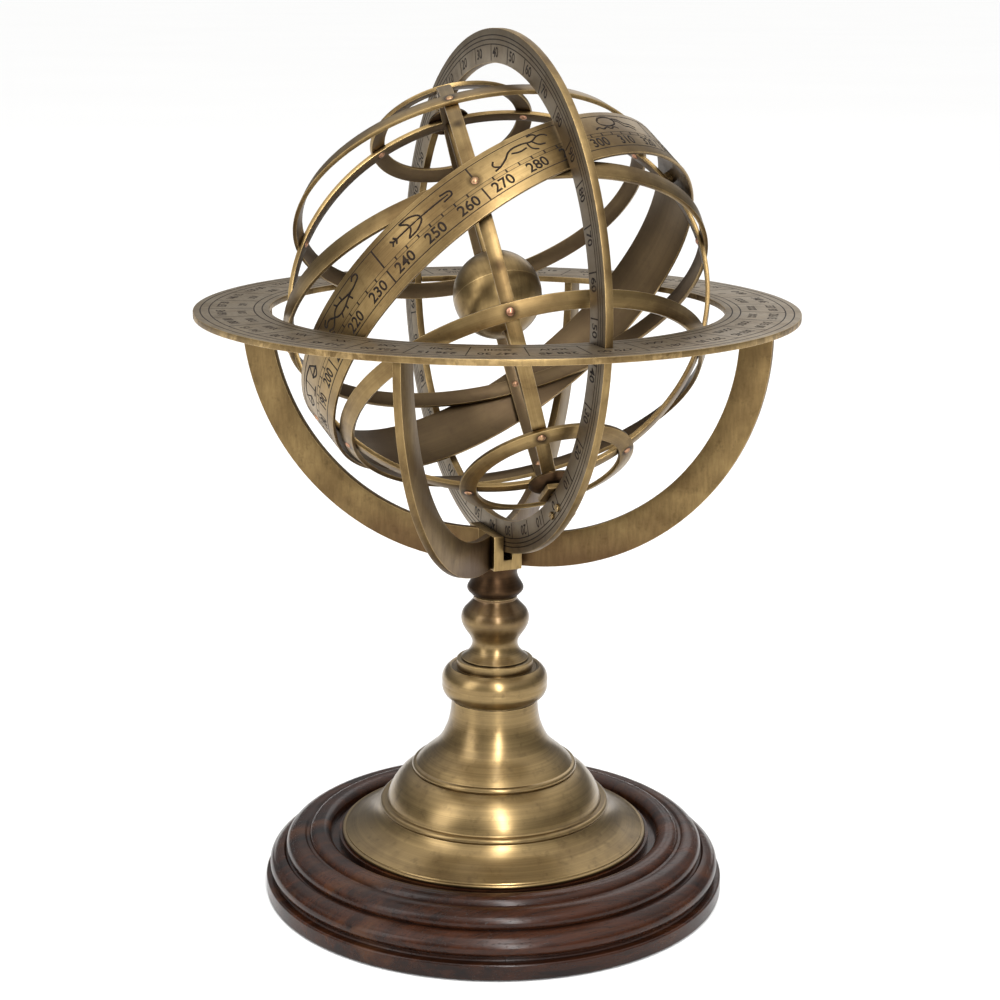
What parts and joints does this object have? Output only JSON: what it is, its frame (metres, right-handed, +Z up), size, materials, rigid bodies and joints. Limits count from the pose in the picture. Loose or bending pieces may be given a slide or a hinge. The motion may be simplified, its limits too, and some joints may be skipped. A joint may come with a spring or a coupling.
{
  "type": "armillary sphere",
  "caption": "Desk armillary sphere: a cage of sky circles turning about a central ball inside a graduated meridian and horizon ring on a turned stand.",
  "frame": {"origin": "centre of the underside of the base, on the floor", "axes": "+Z up along the stem; the meridian ring stands in the YZ plane and the north pole of the cage leans towards +Y; +X is to the right when looking along +Y"},
  "size_m": [0.275, 0.275, 0.4048],
  "materials": {
    "felt": "woven felt",
    "wood": "satin varnished dark hardwood",
    "foot_brass": "brushed antique",
    "stem_brass": "brushed antique",
    "dark_brass": "dark patina",
    "steel": "plain",
    "hub_brass": "sawn",
    "arm_brass": "antique",
    "horizon_brass": "engraved antique",
    "meridian_brass": "engraved antique",
    "fitting_brass": "antique",
    "screw_brass": "bright",
    "rod_brass": "satin",
    "ball_brass": "brushed antique",
    "zodiac_brass": "engraved antique",
    "hoop_brass": "brushed antique",
    "rivet_copper": "hammered copper-toned"
  },
  "bodies": {
    "stand": {"felt_pad": "felt", "wood_base": "wood", "brass_foot": "foot_brass", "stem_collar": "foot_brass", "stem_baluster": "stem_brass", "stem_cap": "dark_brass", "tie_rod": "steel", "tie_washer": "steel", "tie_nut": "steel", "cradle_hub": "hub_brass", "arm_front_right": "arm_brass", "arm_back_right": "arm_brass", "arm_back_left": "arm_brass", "arm_front_left": "arm_brass", "horizon_ring": "horizon_brass"},
    "meridian": {"meridian_ring": "meridian_brass", "pole_bracket_north": "fitting_brass", "pole_bracket_south": "fitting_brass", "bracket_screws": "screw_brass", "axis_rod": "rod_brass", "ball_north_half": "ball_brass", "ball_south_half": "ball_brass", "ball_bush": "rod_brass"},
    "cage": {"colure_front": "hoop_brass", "colure_side": "hoop_brass", "equator_ring": "hoop_brass", "tropic_north": "hoop_brass", "tropic_south": "hoop_brass", "polar_circle_north": "hoop_brass", "polar_circle_south": "hoop_brass", "zodiac_band": "zodiac_brass", "zodiac_spacers": "rod_brass", "hoop_rivets": "rivet_copper", "zodiac_rivets": "rivet_copper", "pole_boss_north": "dark_brass", "pole_boss_south": "dark_brass"}
  },
  "joints": [
    {"name": "latitude_turn", "type": "hinge", "parent": "stand", "child": "meridian", "pos_m": [0, 0, 0.2864], "axis": [1, 0, 0], "range_deg": [-38, 26]},
    {"name": "cage_spin", "type": "hinge", "parent": "meridian", "child": "cage", "pos_m": [0, 0, 0.2864], "axis": [0, 0.6428, 0.766], "continuous": true}
  ]
}
